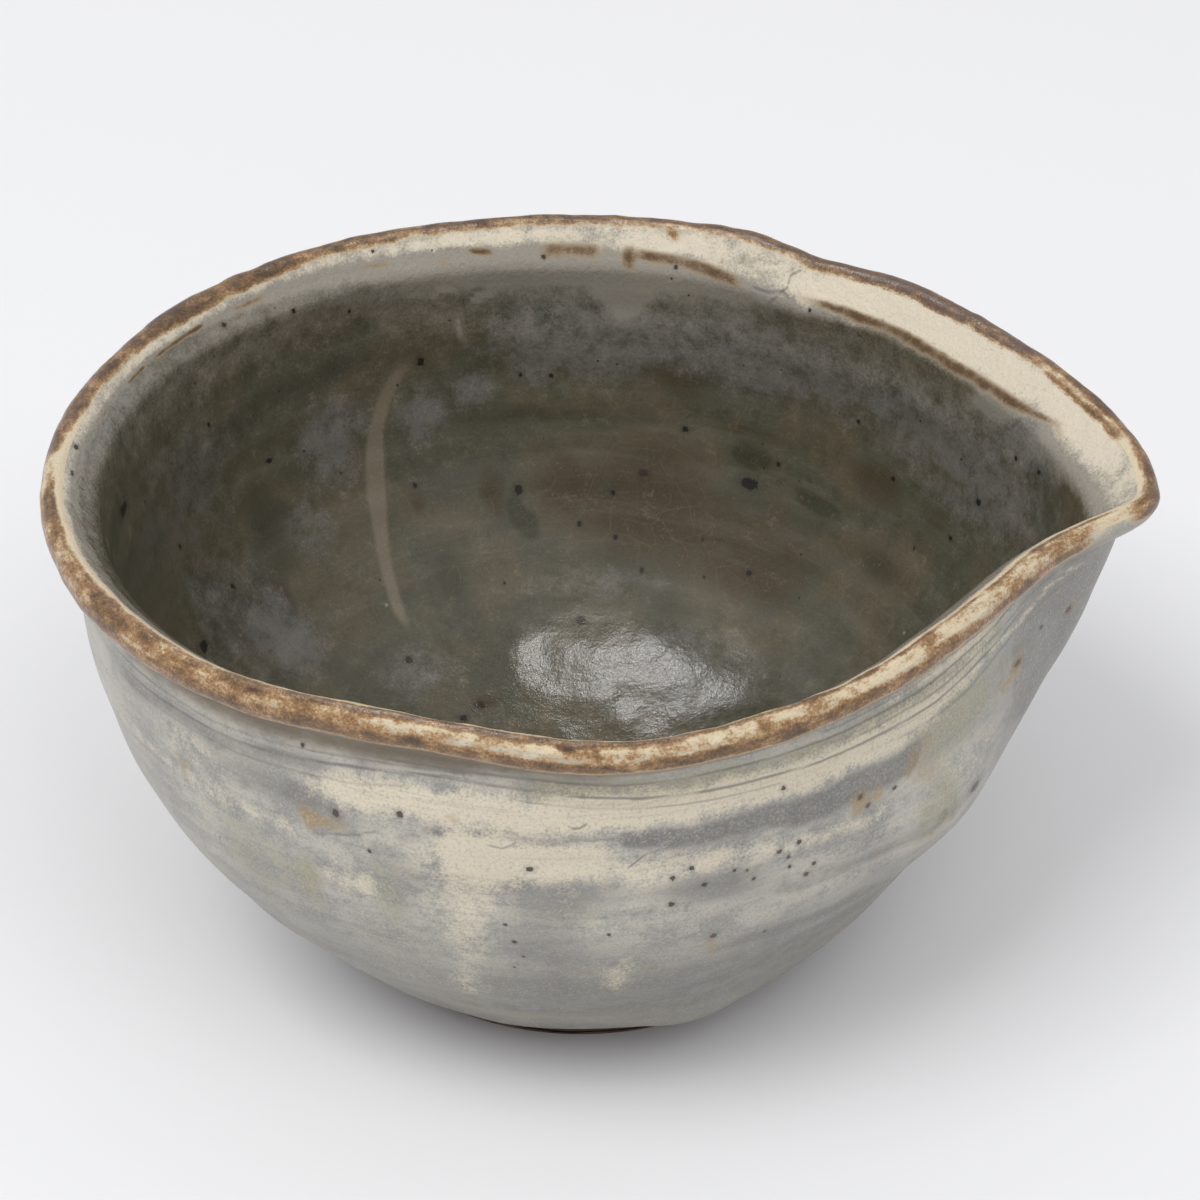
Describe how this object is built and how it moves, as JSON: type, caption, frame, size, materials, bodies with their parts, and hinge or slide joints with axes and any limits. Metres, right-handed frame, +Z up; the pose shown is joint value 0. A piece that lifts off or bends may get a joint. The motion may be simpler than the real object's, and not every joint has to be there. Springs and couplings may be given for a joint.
{
  "type": "pouring bowl",
  "caption": "Hand-thrown glazed stoneware pouring bowl with a drawn beak, a rolled lip and a turned foot ring.",
  "frame": {"origin": "under the middle of the bowl's outline, on the surface that it stands on", "axes": "+X towards the beak, +Z up through the mouth, +Y to the bowl's left when the beak points ahead"},
  "size_m": [0.1622, 0.1464, 0.081],
  "materials": {
    "bowl_clay": "bare, iron-brown where the glaze thins at the lip",
    "beak_clay": "bare, iron-brown where the glaze thins at the lip",
    "foot_clay": "bare, dark and matte",
    "inner_glaze": "glossy, crackled",
    "outer_glaze": "satin, streaked"
  },
  "bodies": {
    "root": {"thrown_bowl": "bowl_clay", "drawn_beak": "beak_clay", "foot_ring": "foot_clay", "inner_glaze": "inner_glaze", "outer_glaze": "outer_glaze"}
  },
  "joints": []
}
